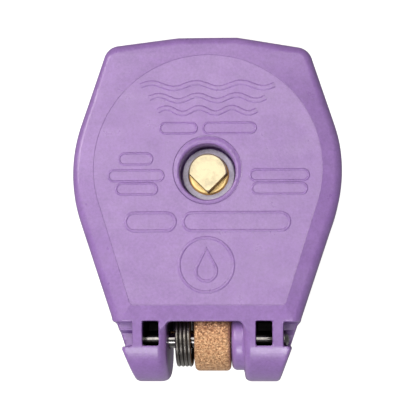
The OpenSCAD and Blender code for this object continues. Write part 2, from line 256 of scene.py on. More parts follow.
def net_quads(inside, index):
    """A quad round each edge of the grid that the surface crosses."""
    shape, quads = index.shape, []
    for axis in range(3):
        u, v = (axis + 1) % 3, (axis + 2) % 3
        before, after = [slice(None)] * 3, [slice(None)] * 3
        before[axis], after[axis] = slice(0, -1), slice(1, None)
        first, second = inside[tuple(before)], inside[tuple(after)]
        for flip, crossing in ((False, first & ~second), (True, second & ~first)):
            e = np.argwhere(crossing)
            e = e[(e[:, u] > 0) & (e[:, v] > 0) & (e[:, u] < shape[u]) & (e[:, v] < shape[v])]
            ring = []
            for du, dv in ((-1, -1), (0, -1), (0, 0), (-1, 0)):
                c = e.copy()
                c[:, u] += du
                c[:, v] += dv
                ring.append(index[tuple(c.T)])
            quads.append(np.stack(ring[::-1] if flip else ring, axis=1))
    return np.concatenate(quads)


def surface_net(field, low, high, step):
    """Points and quads of the zero level of a field over a box, all in millimetres."""
    axes = [np.arange(low[i], high[i] + step, step) for i in range(3)]
    value = field(*np.meshgrid(*axes, indexing="ij", sparse=True))
    inside = value < 0
    shape = tuple(n - 1 for n in value.shape)
    count = sum(inside[i:i + shape[0], j:j + shape[1], k:k + shape[2]].astype(np.int8)
                for i, j, k in CORNERS)
    crossed = (count > 0) & (count < len(CORNERS))
    cells = np.argwhere(crossed)
    index = np.full(shape, -1)
    index[crossed] = np.arange(len(cells))
    points = net_points(value, cells) * step + np.array([a[0] for a in axes])
    return points, net_quads(inside, index)


def gradient(field, p, h):
    """Slope of a field at points, from its values at a distance h either way."""
    g = np.empty_like(p)
    for i in range(3):
        d = np.zeros(3)
        d[i] = h
        g[:, i] = (field(*(p + d).T) - field(*(p - d).T)) / (2 * h)
    return g


def mesh_object(name, points, faces, normals=None):
    """An object from points in millimetres."""
    mesh = bpy.data.meshes.new(name)
    mesh.from_pydata((np.asarray(points) * MM).tolist(), [], faces)
    mesh.shade_smooth()
    mesh.set_sharp_from_angle(angle=math.radians(40))
    if normals is not None:
        mesh.normals_split_custom_set_from_vertices(normals.tolist())
    obj = bpy.data.objects.new(name, mesh)
    bpy.context.scene.collection.objects.link(obj)
    return obj


def solid_from(name, field, low, high, step):
    """A smooth mesh of a distance field, its points drawn onto the zero level."""
    edge = 1.5 * step
    points, quads = surface_net(field, np.array(low) - edge, np.array(high) + edge, step)
    for _ in range(3):
        g = gradient(field, points, 0.02)
        size = np.maximum((g ** 2).sum(1), 0.25)
        points -= np.clip((field(*points.T) / size)[:, None] * g, -0.5 * step, 0.5 * step)
    g = gradient(field, points, 0.06)
    g /= np.maximum(np.linalg.norm(g, axis=1), 1e-6)[:, None]
    return mesh_object(name, points, quads.tolist(), g)


def tag(obj, name, values):
    """Keeps a number on each point of a mesh, for its material to read."""
    attribute = obj.data.attributes.new(name, "FLOAT", "POINT")
    attribute.data.foreach_set("value", values.astype(np.float32))


def points_of(obj):
    """The points of a mesh, in millimetres."""
    p = np.empty(len(obj.data.vertices) * 3)
    obj.data.vertices.foreach_get("co", p)
    return p.reshape(-1, 3) / MM


# ---------------------------------------------------------------- cover

def cover_outline(x, y):
    """Distance outside the cover from above: bulging sides, blunt shoulders, a short flat front."""
    # the right side draws in a little toward the hinge
    drawn_in = np.where(x > 0, 0.5 * np.clip((8 - y) / 24, 0, 1), 0)
    side = turned(abs(x + SIDE_SHIFT) + SIDE_R - SIDE_X + drawn_in, y, 0, SIDE_R, *SIDE_ANGLES)
    a = np.radians(np.where(x < 0, *SHOULDER_ANGLES))
    shoulder = (abs(x) - FRONT_X) * np.cos(a) + (y - FRONT_Y) * np.sin(a)
    corner = np.cos(a - math.radians(SIDE_ANGLES[1]))
    return np.maximum(rounded_max(side, shoulder, 4.8, corner), y - FRONT_Y)


def from_panel_arc(x, y):
    """Distance outside the panel's round top and the straight sides that run on from it."""
    return turned(x, y, PANEL_CENTRE_Y, PANEL_R, *PANEL_ANGLES)


def from_panel(x, y):
    """Distance outside the raised panel on the cover's face."""
    return rounded_max(from_panel_arc(x, y), PANEL_LOW_Y - y, 0.8)


def from_lip(x, y):
    """Distance outside the lip round the key well."""
    return np.hypot(x, y - LIP_Y) - LIP_R


def cover_top(x, y):
    """Height of the upper face: a flat panel, a border that falls away, a lip round the well."""
    past = np.maximum(from_panel_arc(x, y), 0)
    ahead = np.clip((y - 20) / 14, 0, 1)
    back = np.clip(PANEL_LOW_Y - y, 0, PANEL_LOW_Y - NOSE_START[0])
    fall = np.maximum((BORDER_SLOPE - FRONT_EASING * ahead) * past, BACK_SLOPE * back)
    return TOP_Z - fall + LIP_HEIGHT * np.clip(-from_lip(x, y) / 1.2, 0, 1)


def arm_side(y, z):
    """The cover in side view: level top, sloping back, arms with a round nose."""
    nose_y = END_Y + NOSE_R
    back = nose_y - NOSE_START[0]
    nose_z = NOSE_START[1] - math.sqrt(NOSE_R ** 2 - back ** 2)
    points = [(60, SKIRT_Z), (60, 150), (PANEL_LOW_Y, 150), (PANEL_LOW_Y, TOP_Z)]
    points += arc(nose_y, nose_z, NOSE_R, 90 + math.degrees(math.asin(back / NOSE_R)), 180, 24)
    points += arc(END_Y + 9, nose_z, 9, 182, 270, 24) + [(-36, SKIRT_Z)]
    return polygon(y, z, points)


def cover_plan(x, y):
    """Outline from above, with the two hinge arms."""
    cover = rounded_max(cover_outline(x, y), -42.3 - y, 0.4)
    # one arm, which is mirrored for the other
    points = [(-12, -36), (-12, END_Y)] + arc(19.1, END_Y + 1.7, 1.7, 270, 337)
    points += [(23.9, -49.7), (24.1, -49), (23.5, -49), (25.6, -42.9), (26.6, -41.8), (27.4, -36)]
    return np.minimum(cover, polygon(abs(x) - np.where(x < 0, *ARM_GROWTH), y, points))


def cover_moulding(x, y, z):
    """The cover before its details: outside form, and the hollow under the plate."""
    lid = np.maximum(z - cover_top(x, y), arm_side(y, z))
    softer_ahead = 0.7 + 1.6 * np.clip((y + 46) / 6, 0, 1)
    plan = cover_plan(x, y) + DRAFT * np.maximum(z - SKIRT_Z, 0)
    hollow = rounded_max(cover_outline(x, y) + WALL, -39.0 - y, 1.0)
    hollow = rounded_max(hollow, z - PLATE_Z, 1.0)
    return cut(rounded_max(plan, lid, softer_ahead), hollow, 0.4)


def add_boss_and_ribs(body, x, y, z):
    """The lock's boss and three long ribs under the plate."""
    under = z - PLATE_Z - 1
    boss = rounded_max(np.hypot(x, y) - BOSS_R, BOSS_Z - z, 0.5)
    body = rounded_min(body, np.maximum(boss, under), 0.8)
    for turn in RIB_TURNS:
        a = math.radians(turn)
        across = abs(x * math.sin(a) - y * math.cos(a))
        along = abs(x * math.cos(a) + y * math.sin(a))
        rib = rounded_max(across - RIB_HALF_WIDTH, along - RIB_REACH, 0.4)
        rib = rounded_max(rib, RIB_Z - z, 0.4)
        body = rounded_min(body, np.maximum(rib, under), 0.5)
    return body


def cut_gap(body, x, y, z):
    """The gap between the arms, and the open back of the skirt below it."""
    from_gap = np.maximum(GAP_X[0] - GAP_LEAN * (z - SKIRT_Z) - x, x - GAP_X[1])
    edge = 0.3 + np.where(x < 0, 2.5, 1.9) * np.clip((EDGE_Y - 1 - y) / 2, 0, 1)
    body = cut(body, rounded_max(from_gap, y - EDGE_Y, 1.6), edge)
    mouth = rounded_max(rounded_max(from_gap, y + 31, 0.5), z - PLATE_Z, 0.5)
    return cut(body, mouth, 0.4)


def add_web_and_knuckle(body, x, y, z):
    """A web under the coil at the foot of the left arm, and the knuckle on the right arm."""
    pin = from_pin(y, z)
    web = block(x, y, z, (-12, -45, SKIRT_Z - 0.4), (-8.4, -38, PIN_Z - 4), 0.3)
    body = rounded_min(body, cut(web, pin - COIL_R - COIL_WIRE_R - 0.3, 0.1), 0.3)
    knuckle = rounded_max(rounded_max(pin - KNUCKLE_R, KNUCKLE_X - x, 1.6), x - 12, 0.1)
    return rounded_min(body, knuckle, 0.4)


def cut_arms(body, x, y, z):
    """The windows over the pin, the notches at the sides, and the pin's bore."""
    for x0 in WINDOW_X:
        low = (x0, WINDOW_Y[0], RIM_Z - 10)
        high = (x0 + WINDOW_WIDTH, WINDOW_Y[1], TOP_Z + 9)
        body = cut(body, block(x, y, z, low, high), 0.15)
    notch = rounded_max(slab(y, *NOTCH_Y), NOTCH_X - abs(x), 0.2)
    step = 118.6 + 2.2 * np.clip((y + 45.2) / 0.9, 0, 1)
    body = cut(body, rounded_max(notch, np.where(x > 0, PIN_Z, step) - z, 0.2), 0.2)
    return cut(body, from_pin(y, z) - PIN_R - 0.02, 0.1)


def cover_field(x, y, z):
    body = cover_moulding(x, y, z)
    for change in (add_boss_and_ribs, cut_gap, add_web_and_knuckle, cut_arms):
        body = change(body, x, y, z)
    r = np.hypot(x, y)
    body = cut(body, rounded_max(r - WELL_R, WELL_Z - z, 0.2), 0.7)
    return cut(body, r - BUSH_HOLE_R, 0.2)


def pocket_shade_depth(x, y, z):
    """How deep a point lies in a window over the pin or in the corner behind the coil, 0 to 1: the
    share of painted shade it gets.
    """
    across = np.min([slab(x, x0 - 0.3, x0 + WINDOW_WIDTH + 0.3) for x0 in WINDOW_X], axis=0)
    window = np.maximum(across, slab(y, WINDOW_Y[0] - 0.3, WINDOW_Y[1] + 0.3)) < 0
    corner = np.maximum(slab(x, -12, -7), slab(y, -46, -38)) < 0
    depth = np.clip((TOP_Z - 2.6 - z) / 2, 0, 1) * window
    return np.maximum(depth, np.clip((TOP_Z - 4 - z) / 4, 0, 0.9) * corner) * (z > SKIRT_Z - 0.2)


def unit(v):
    return v / np.linalg.norm(v, axis=1)[:, None]


def sweep(path, section, closed):
    """A section drawn along a flat path: section holds (across, up) pairs."""
    n, m = len(path), len(section)
    p = np.array(path, float)
    ahead = np.roll(p, -1, 0) - p
    behind = p - np.roll(p, 1, 0)
    if not closed:
        ahead[-1], behind[0] = behind[-1], ahead[0]
    t = unit(unit(ahead) + unit(behind))
    across = np.stack([t[:, 1], -t[:, 0]], 1)
    points = [(p[i, 0] + a * across[i, 0], p[i, 1] + a * across[i, 1], u)
              for i in range(n) for a, u in section]
    faces = [[i * m + k, (i + 1) % n * m + k, (i + 1) % n * m + (k + 1) % m, i * m + (k + 1) % m]
             for i in range(n if closed else n - 1) for k in range(m)]
    if not closed:
        faces += [list(range(m)), [(n - 1) * m + k for k in reversed(range(m))]]
    return points, faces


def pill(x0, x1, y0, y1):
    """Outline of a bar with rounded ends."""
    r = (y1 - y0) / 2 - 0.01
    return (arc(x1 - r, y0 + r, r, -90, 0, 6) + arc(x1 - r, y1 - r, r, 0, 90, 6)
            + arc(x0 + r, y1 - r, r, 90, 180, 6) + arc(x0 + r, y0 + r, r, 180, 270, 6))


def drop(cx, cy, r):
    """Outline of a water drop, its point toward +Y."""
    return arc(cx, cy, r, 150, 390, 24) + [(cx, cy + 2.2 * r)]


# rows of plain bars: bottom, top, width of the line, then left and right end of each bar
BAR_ROWS = (
    (10.9, 13.9, 0.6, (-13.4, -3.0), (-1.2, 13.7)),
    (2.1, 5.3, 0.65, (-25.0, -15.6)),
    (-2.6, 0.5, 0.65, (-28.0, -12.4), (12.1, 28.5)),
    (-6.4, -3.3, 0.65, (-25.8, -14.2), (12.6, 28.0)),
    (-16.7, -11.6, 0.85, (-23.1, -9.0), (-6.8, 23.1)),
)


def wave(length, y, points=72):
    """Three waves side by side."""
    turns = [i / points for i in range(points + 1)]
    return [(length * (t - 0.5), y + 0.8 * math.sin(6 * math.pi * t)) for t in turns]


def relief_strokes():
    """Generic raised marks: three waves, plain bars, and a water drop in a ring."""
    strokes = [(wave(38 - 5 * row, 24.6 - 3.6 * row), 1.5, False) for row in range(3)]
    for low, high, width, *bars in BAR_ROWS:
        strokes += [(pill(left, right, low, high), width, True) for left, right in bars]
    strokes.append((arc(-0.3, -26.3, 7.65, 0, 352.5, 47), 0.9, True))
    strokes.append((drop(-0.3, -28.0, 2.9), 0.9, True))
    return strokes


def stroke_section(width):
    """Outline across a raised stroke: rounded shoulders, and a foot sunk in the plate."""
    half, crown = width / 2, min(width / 2, 0.45)
    turns = [math.radians(a) for a in (0, 15, 30, 50, 70, 90)]
    bend = [(crown * (1 - math.cos(a)) - half, MARK_HEIGHT * math.sin(a)) for a in turns]
    back = [(-a, up) for a, up in reversed(bend)]
    return [(-half, -0.2)] + bend + back + [(half, -0.2)]


def make_relief():
    points, faces = [], []
    for path, width, closed in relief_strokes():
        p, f = sweep(path, stroke_section(width), closed)
        faces += [[len(points) + k for k in face] for face in f]
        points += [(x, y, TOP_Z + u) for x, y, u in p]
    obj = mesh_object("cover_marks", points, faces)
    for line in ("panel_line", "lip_line"):
        tag(obj, line, np.full(len(points), OFF_LINE))
    tag(obj, "pocket_shade", np.zeros(len(points)))
    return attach(obj, "cover_group")


def make_cover():
    low, high = (-SIDE_X, END_Y, PIN_Z - 12), (SIDE_X, 38.5, TOP_Z + 0.5)
    obj = solid_from("cover_shell", cover_field, low, high, 0.55)
    x, y, z = points_of(obj).T
    tag(obj, "panel_line", np.where(z > PLATE_Z, from_panel(x, y), OFF_LINE))
    tag(obj, "lip_line", np.where(z > PLATE_Z, from_lip(x, y), OFF_LINE))
    # how much painted shade each point gets, in the windows and behind the coil
    tag(obj, "pocket_shade", pocket_shade_depth(x, y, z))
    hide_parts("cover")
    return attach(obj, "cover_group")


# ---------------------------------------------------------------- bronze castings

def lower_field(x, y, z):
    r = np.hypot(x, y)
    nut = rounded_max(hexagon(x, y, INLET_HEX), slab(z, 0, 22), 0.6)
    nut = rounded_max(nut, r + 0.35 * abs(z - 11) - 27.6, 1.0)
    barrel = rounded_max(r - CHAMBER_R, z - 66, 0.5)
    barrel = rounded_max(barrel, r * 0.83 - z * 0.56 - 4.8, 2.5)
    barrel = rounded_max(barrel, 15 - z, 0.5)
    collar = rounded_max(rounded_max(r - COLLAR_R, z - 74, 0.8), (r - z + 30) * 0.7, 2.0)
    body = rounded_min(rounded_min(nut, barrel, 1.5), collar, 2.0)
    turn = z / THREAD_PITCH - np.arctan2(y, x) / (2 * math.pi)
    run_out = np.clip((THREAD_END_Z - z) / 2, 0, 1)
    groove = THREAD_DEPTH * abs((turn % 1) - 0.5) * 2 * run_out
    body = cut(body, np.maximum(r - INLET_R - groove, slab(z, -1, THREAD_END_Z)), 0.15)
    return cut(body, polygon(r, z, LOWER_BORE), 0.15)


def hinge_lug(x, y, z):
    """The lug's eye round the pin and its neck down to the rim."""
    eye = rounded_max(from_pin(y, z) - LUG_R, slab(x, *LUG_X), 1.2)
    neck = [(PIN_Y, PIN_Z - 8.5), (-40, PIN_Z - 8.5), (-24, PIN_Z - 17), (-20, PIN_Z - 17),
            (-20, RIM_Z), (-33, RIM_Z), (PIN_Y + 3, PIN_Z + 5.5)]
    return rounded_min(eye, rounded_max(polygon(y, z, neck), slab(x, *LUG_X), 1.0), 1.0)


def upper_field(x, y, z):
    r = np.hypot(x, y)
    nut = rounded_max(hexagon(x, y, UPPER_HEX), slab(z, 74.05, 84), 0.6)
    nut = rounded_max(nut, r + 0.35 * abs(z - 79) - 31.6, 1.0)
    tube = rounded_max(r - TUBE_R, slab(z, 76, 112), 0.5)
    tube = rounded_max(tube, r - TUBE_R, 0.1)  # a steeper field, which keeps its fillets small
    rim = rounded_max(rounded_max(r - RIM_R, z - RIM_Z, 0.8), (r - z + 83.5) * 0.7, 1.5)
    plug = rounded_max(r - PLUG_R, slab(z, 60.05, 75), 0.6)
    body = rounded_min(rounded_min(rounded_min(nut, tube, 1.6), rim, 2.5), plug, 0.3)
    body = rounded_min(body, hinge_lug(x, y, z), 1.8)
    body = cut(body, polygon(r, z, UPPER_BORE), 0.2)
    # slots that let the key's lugs in, the pin's bore, and a hole for the coil's tail
    body = cut(body, np.maximum(rounded_max(abs(y) - 5, r - 20.5, 0.3), 83 - z), 0.3)
    body = cut(body, np.maximum(from_pin(y, z) - PIN_R - 0.06, slab(x, -6, 9)), 0.2)
    tail = np.hypot(y - PIN_Y - COIL_R, z - PIN_Z) - COIL_WIRE_R - 0.1
    return cut(body, np.maximum(tail, slab(x, LUG_X[0] - 1, LUG_X[0] + 2)), 0.1)


def make_castings():
    low, high = (-COLLAR_R, -COLLAR_R, 0), (COLLAR_R, COLLAR_R, 74)
    lower = solid_from("lower_casting", lower_field, low, high, 0.6)
    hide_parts("lower_body")
    low, high = (-31.5, -56, 60), (31.5, 29, PIN_Z + LUG_R)
    upper = solid_from("upper_casting", upper_field, low, high, 0.6)
    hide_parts("upper_body")
    for obj in (lower, upper):
        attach(obj, "valve_body")
    return lower, upper


# ---------------------------------------------------------------- hinge pin and springs

def grid_faces(rings, sides):
    """Quads between rings of points, and a flat face on each end."""
    faces = [[i * sides + k, i * sides + (k + 1) % sides,
              (i + 1) * sides + (k + 1) % sides, (i + 1) * sides + k]
             for i in range(rings - 1) for k in range(sides)]
    return faces + [list(range(sides))[::-1], [(rings - 1) * sides + k for k in range(sides)]]


def wire(name, path, outward, radius, sides=18):
    """Round wire along a path; outward points away from the coil's axis at each point."""
    path, outward = np.array(path), np.array(outward)
    along = unit(np.gradient(path, axis=0))
    u = unit(outward - (outward * along).sum(1)[:, None] * along)
    v = np.cross(along, u)
    a = (np.arange(sides) * 2 * math.pi / sides)[None, :, None]
    points = path[:, None] + radius * (np.cos(a) * u[:, None] + np.sin(a) * v[:, None])
    return mesh_object(name, points.reshape(-1, 3), grid_faces(len(path), sides))


def make_hinge_coil():
    """Torsion spring round the pin, its tails running into the left arm and the lug."""
    resting = LUG_X[0] - COIL_WIRE_R - 0.05
    end = -90 + 360 * COIL_TURNS
    route = [(GAP_X[0] - 1.5, -90), (COIL_X - 0.9, -90), (COIL_X - 0.35, -88.5)]
    turns = [i / WIRE_STEPS for i in range(1, int(COIL_TURNS * WIRE_STEPS))]
    route += [(min(COIL_X + COIL_PITCH * t, resting), -90 + 360 * t) for t in turns]
    route += [(resting + 0.35, end - 1.5), (resting + 0.9, end)]
    outward = [(0, math.cos(math.radians(a)), math.sin(math.radians(a))) for _, a in route]
    path = [(x, PIN_Y + COIL_R * o[1], PIN_Z + COIL_R * o[2]) for (x, _), o in zip(route, outward)]
    obj = wire("hinge_coil", path, outward, COIL_WIRE_R)
    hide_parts("hinge_spring")
    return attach(obj, "cover_group")


def make_poppet_coil():
    """Compression spring with closed end turns; the real spring shortens as the poppet goes down
    onto it, but this mesh keeps one length.
    """
    lead = 2 * SPRING_WIRE_R + 0.05
    low, high = SPRING_Z[0] + lead / 2, SPRING_Z[1] - lead / 2
    open_turns = SPRING_TURNS - 2
    open_lead = (high - low - 2 * lead) / open_turns
    path, outward = [], []
    for i in range(SPRING_TURNS * WIRE_STEPS + 1):
        turn = i / WIRE_STEPS
        x, y = math.cos(2 * math.pi * turn), math.sin(2 * math.pi * turn)
        rise = lead * (min(turn, 1) + max(turn - 1 - open_turns, 0))
        rise += open_lead * min(max(turn - 1, 0), open_turns)
        outward.append((x, y, 0))
        path.append((SPRING_R * x, SPRING_R * y, low + rise))
    obj = wire("poppet_coil", path, outward, SPRING_WIRE_R)
    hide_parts("poppet_spring")
    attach(obj, "poppet_group")
    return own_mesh(obj)


def make_pin():
    """Steel pin with a domed right end and a knurled band where the right arm grips it."""
    sides, fade, bevel = 120, 0.3, 0.4
    left, right = PIN_X
    knurl = ((KNURL_X[0], 0), (KNURL_X[0] + fade, KNURL_DEPTH),
             (KNURL_X[1] - fade, KNURL_DEPTH), (KNURL_X[1], 0))
    profile = [(left, 1.2, 0), (left, PIN_R - bevel, 0), (left + bevel, PIN_R, 0)]
    profile += [(x, PIN_R, bite) for x, bite in knurl]
    profile += [(right - PIN_DOME + PIN_DOME * math.sin(a), PIN_R * math.cos(a), 0)
                for a in (math.radians(6 * i) for i in range(15))]
    points = []
    for x, r, bite in profile:
        for k in range(sides):
            a = 2 * math.pi * k / sides
            here = r - bite * (0.5 + 0.5 * math.cos(KNURL_TEETH * a))
            points.append((x, PIN_Y + here * math.cos(a), PIN_Z + here * math.sin(a)))
    obj = mesh_object("hinge_rod", points, grid_faces(len(profile), sides))
    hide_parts("hinge_pin")
    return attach(obj, "cover_group")


# ---------------------------------------------------------------- materials

class Look:
    """A material and short ways to add nodes to it."""

    def __init__(self, name, colour, metallic, roughness):
        self.material = bpy.data.materials.new(name)
        self.material.use_nodes = True
        self.tree = self.material.node_tree
        self.bsdf = self.tree.nodes["Principled BSDF"]
        self.bsdf.inputs["Base Color"].default_value = (*colour, 1)
        self.bsdf.inputs["Metallic"].default_value = metallic
        self.bsdf.inputs["Roughness"].default_value = roughness
        self.place = self.tree.nodes.new("ShaderNodeTexCoord").outputs["Object"]
        self.normal = None

    def add(self, kind, links=(), **settings):
        """A new node; links holds what goes into its sockets, another node's output or a value."""
        node = self.tree.nodes.new("ShaderNode" + kind)
        for key, value in settings.items():
            setattr(node, key, value)
        for socket, value in dict(links).items():
            if isinstance(value, bpy.types.NodeSocket):
                self.tree.links.new(value, node.inputs[socket])
            else:
                node.inputs[socket].default_value = value
        return node

    def vector(self, operation, links, output="Vector"):
        return self.add("VectorMath", links, operation=operation).outputs[output]

    def stretched(self, x, y, z):
        return self.vector("MULTIPLY", {0: self.place, 1: (x, y, z)})

    def noise(self, size, detail=2.0, rough=0.5, stretch=(1, 1, 1), warp=0.0):
        """Noise whose features are about size millimetres."""
        vector = self.place if stretch == (1, 1, 1) else self.stretched(*stretch)
        links = {"Vector": vector, "Scale": 1 / (size * MM), "Detail": detail,
                 "Roughness": rough, "Distortion": warp}
        return self.add("TexNoise", links).outputs["Fac"]

    def attribute(self, name):
        return self.add("Attribute", attribute_name=name).outputs["Fac"]

    def maths(self, operation, a, b=0.0):
        return self.add("Math", {0: a, 1: b}, operation=operation).outputs[0]

    def spread(self, value, from_low, from_high, low, high):
        """A value moved from one range to another, held at the ends."""
        links = {"Value": value, "From Min": from_low, "From Max": from_high,
                 "To Min": low, "To Max": high}
        return self.add("MapRange", links).outputs["Result"]

    def ramp(self, value, *stops):
        """A colour for each value, between stops of (value, colour)."""
        node = self.add("ValToRGB", {"Fac": value})
        elements = node.color_ramp.elements
        while len(elements) < len(stops):
            elements.new(0.5)
        for element, (at, colour) in zip(elements, stops):
            element.position, element.color = at, (*colour, 1)
        return node.outputs["Color"]

    def blend(self, amount, a, b, how="MIX"):
        """Colour a with colour b mixed in."""
        node = self.add("Mix", data_type="RGBA", blend_type=how)
        for socket, value in ((0, amount), (6, a), (7, b)):
            if isinstance(value, bpy.types.NodeSocket):
                self.tree.links.new(value, node.inputs[socket])
            else:
                node.inputs[socket].default_value = value if socket == 0 else (*value, 1)
        return node.outputs[2]

    def set(self, socket, value):
        self.tree.links.new(value, self.bsdf.inputs[socket])

    def bump(self, height, depth):
        """Adds relief of a depth in millimetres on top of what the look already has."""
        links = {"Height": height, "Distance": depth * MM, "Strength": 1.0}
        if self.normal is not None:
            links["Normal"] = self.normal
        self.normal = self.add("Bump", links).outputs["Normal"]
        self.set("Normal", self.normal)

    def flakes(self, size, tilt):
        """Turns the surface of each grain a random way, so that it glitters."""
        cell = self.add("TexVoronoi", {"Vector": self.place, "Scale": 1 / (size * MM)})
        lean = self.vector("SUBTRACT", {0: cell.outputs["Color"], 1: (0.5, 0.5, 0.5)})
        lean = self.vector("SCALE", {0: lean, "Scale": tilt})
        self.normal = self.vector("NORMALIZE", {0: self.vector("ADD", {0: self.normal, 1: lean})})
        self.set("Normal", self.normal)


PURPLE = (0.295, 0.159, 0.46)
WARM_PURPLE = (0.3123, 0.1662, 0.4807)
MILKY_PURPLE = (0.42, 0.30, 0.55)
BRONZE = (0.60, 0.325, 0.165)
BRONZE_PIT = (0.32, 0.13, 0.065)
BRONZE_GLINT = (1.0, 0.66, 0.38)
BRONZE_PATCH = (0.50, 0.24, 0.13)
# dark brown, for painted shade on the spindle's upright walls and round its rim
SPINDLE_SHADE_BROWN = (0.22, 0.10, 0.035)
GOLD = (1.0, 0.84, 0.55)
BRASS = (0.90, 0.72, 0.40)
SPINDLE_BRASS = (0.87, 0.78, 0.55)
BRIGHT_STEEL = (0.24, 0.23, 0.23)
WIRE_STEEL = (0.22, 0.205, 0.19)
PLATE_STEEL = (0.52, 0.52, 0.54)
LAVENDER_ZINC = (0.68, 0.65, 0.79)
BLACK_RUBBER = (0.018, 0.018, 0.02)
# near black, for painted shade in the windows over the pin and behind the coil
POCKET_SHADE_BLACK = (0.012, 0.010, 0.012)


def tinted(colour, factor):
    return tuple(min(c * factor, 1) for c in colour)


def purple_plastic():
    look = Look("purple_plastic", PURPLE, 0.0, 0.32)
    cloud = look.noise(14, 4, 0.6)
    flow = look.noise(9, 3, 0.6, stretch=(0.25, 1, 1), warp=0.6)
    speck = look.noise(0.8, 3, 0.7)
    stain = look.noise(3.2, 3, 0.6)
    colour = look.ramp(cloud, (0.3, tinted(PURPLE, 0.955)), (0.7, WARM_PURPLE))
    colour = look.blend(look.spread(flow, 0.35, 0.65, 0, 0.16), colour, MILKY_PURPLE)
    shade = look.maths("MULTIPLY", look.spread(speck, 0.3, 0.7, 0.90, 1.06),
                       look.spread(stain, 0.3, 0.7, 0.92, 1.04))
    colour = look.blend(1.0, colour, shade, "MULTIPLY")
    panel, lip = look.attribute("panel_line"), look.attribute("lip_line")
    # painted shade: a dark line along the edges of the panel and of the lip, where a thin groove
    # would be in shade
    for line, reach, amount in ((panel, 0.18, 0.3), (lip, 0.26, 0.5)):
        groove = look.spread(look.maths("ABSOLUTE", line), 0.03, reach, amount, 0)
        colour = look.blend(groove, colour, tinted(PURPLE, 0.4))
    # painted shade: deep in the windows over the pin and in the corner behind the coil, the colour
    # goes near black and the sheen fades
    pocket_shade = look.attribute("pocket_shade")
    look.set("Base Color", look.blend(pocket_shade, colour, POCKET_SHADE_BLACK))
    look.set("Specular IOR Level", look.spread(pocket_shade, 0, 1, 0.72, 0.05))
    look.set("Roughness", look.spread(look.noise(5, 4, 0.6), 0.3, 0.7, 0.27, 0.37))
    look.bump(look.noise(0.7, 2, 0.6), 0.03)
    look.bump(look.noise(6, 2, 0.5), 0.02)
    # a fine step down toward the inside, along the edges of the panel and of the lip
    look.bump(look.spread(panel, -0.12, 0.12, 0, 1), 0.08)
    look.bump(look.spread(lip, -0.12, 0.12, 0, 1), 0.16)
    return look.material


def cast_bronze():
    look = Look("cast_bronze", BRONZE, 0.55, 0.6)
    grain = look.noise(0.55, 3, 0.7)
    patch = look.noise(12, 4, 0.6)
    colour = look.ramp(grain, (0.30, BRONZE_PIT), (0.47, BRONZE), (0.66, BRONZE_GLINT))
    colour = look.blend(look.spread(patch, 0.4, 0.7, 0, 0.35), colour, BRONZE_PATCH)
    look.set("Base Color", colour)
    look.set("Roughness", look.spread(look.noise(0.8, 3, 0.8), 0.35, 0.65, 0.45, 0.7))
    look.bump(look.noise(0.7, 3, 0.7), 0.10)
    look.bump(look.noise(7, 3, 0.5), 0.15)
    look.flakes(0.36, 0.95)
    return look.material


RING_WIDTH = 0.12


def spindle_gold_and_painted_shade(look, radius, height, shade):
    """Painted shade on the spindle's upright walls and in a thin ring round its rim, gold on the
    step below its end; gives the end too.
    """
    upright = look.add("SeparateXYZ", {0: look.add("TexCoord").outputs["Normal"]}).outputs["Z"]
    # painted shade: upright walls are darker than the faces that look up
    upright_wall_shade = look.spread(look.maths("ABSOLUTE", upright), 0.3, 0.8, 0.85, 0)
    shade = look.blend(upright_wall_shade, shade, SPINDLE_SHADE_BROWN)
    end = look.spread(height, (SPINDLE_TOP - 0.8) * MM, (SPINDLE_TOP - 0.4) * MM, 0, 1)
    below = look.maths("SUBTRACT", 1, end)
    shade = look.blend(below, shade, GOLD, "MULTIPLY")
    # painted shadow: a thin dark ring round the rim of the step below the end
    rim = look.spread(radius, 5.2 * MM, 5.5 * MM, 0, 0.9)
    return look.blend(look.maths("MULTIPLY", rim, below), shade, SPINDLE_SHADE_BROWN), end


def turned_metal(name, colour, roughness, end_roughness=None):
    """Machined metal with fine rings round the valve axis; with end_roughness, the spindle's."""
    look = Look(name, colour, 1.0, roughness)
    radius = look.vector("LENGTH", {0: look.stretched(1, 1, 0)}, "Value")
    height = look.add("SeparateXYZ", {0: look.place}).outputs["Z"]
    ring = look.add("CombineXYZ", {0: radius, 1: height}).outputs[0]
    links = {"Vector": ring, "Scale": 1 / (RING_WIDTH * MM), "Detail": 2.0}
    lines = look.add("TexNoise", links).outputs["Fac"]
    shade = look.ramp(look.noise(2.5, 4, 0.7), (0.35, tinted(colour, 0.78)), (0.6, colour))
    worn = look.spread(lines, 0.3, 0.7, roughness * 0.75, roughness * 1.3)
    if end_roughness is not None:
        # painted shade on the spindle's upright walls and round its rim; the end is scuffed, the
        # step below it less so
        shade, end = spindle_gold_and_painted_shade(look, radius, height, shade)
        worn = look.maths("MULTIPLY", worn, look.spread(end, 0, 1, 1.1, end_roughness / roughness))
    look.set("Base Color", shade)
    look.set("Roughness", worn)
    look.bump(lines, 0.01)
    return look.material


def drawn_steel(name, colour, roughness):
    """Wire and rod: streaks along X and small dark patches."""
    look = Look(name, colour, 1.0, roughness)
    streak = look.noise(0.25, 3, 0.6, stretch=(0.08, 1, 1))
    patch = look.noise(1.2, 4, 0.7)
    look.set("Base Color", look.ramp(patch, (0.3, tinted(colour, 0.6)), (0.6, colour)))
    look.set("Roughness", look.spread(streak, 0.3, 0.7, roughness * 0.7, roughness * 1.5))
    look.bump(streak, 0.006)
    return look.material


def lavender_zinc():
    look = Look("lavender_zinc", LAVENDER_ZINC, 0.25, 0.5)
    dull, pale = tinted(LAVENDER_ZINC, 0.8), tinted(LAVENDER_ZINC, 1.12)
    look.set("Base Color", look.ramp(look.noise(0.9, 4, 0.7), (0.3, dull), (0.7, pale)))
    look.bump(look.noise(0.3, 3, 0.6), 0.012)
    return look.material


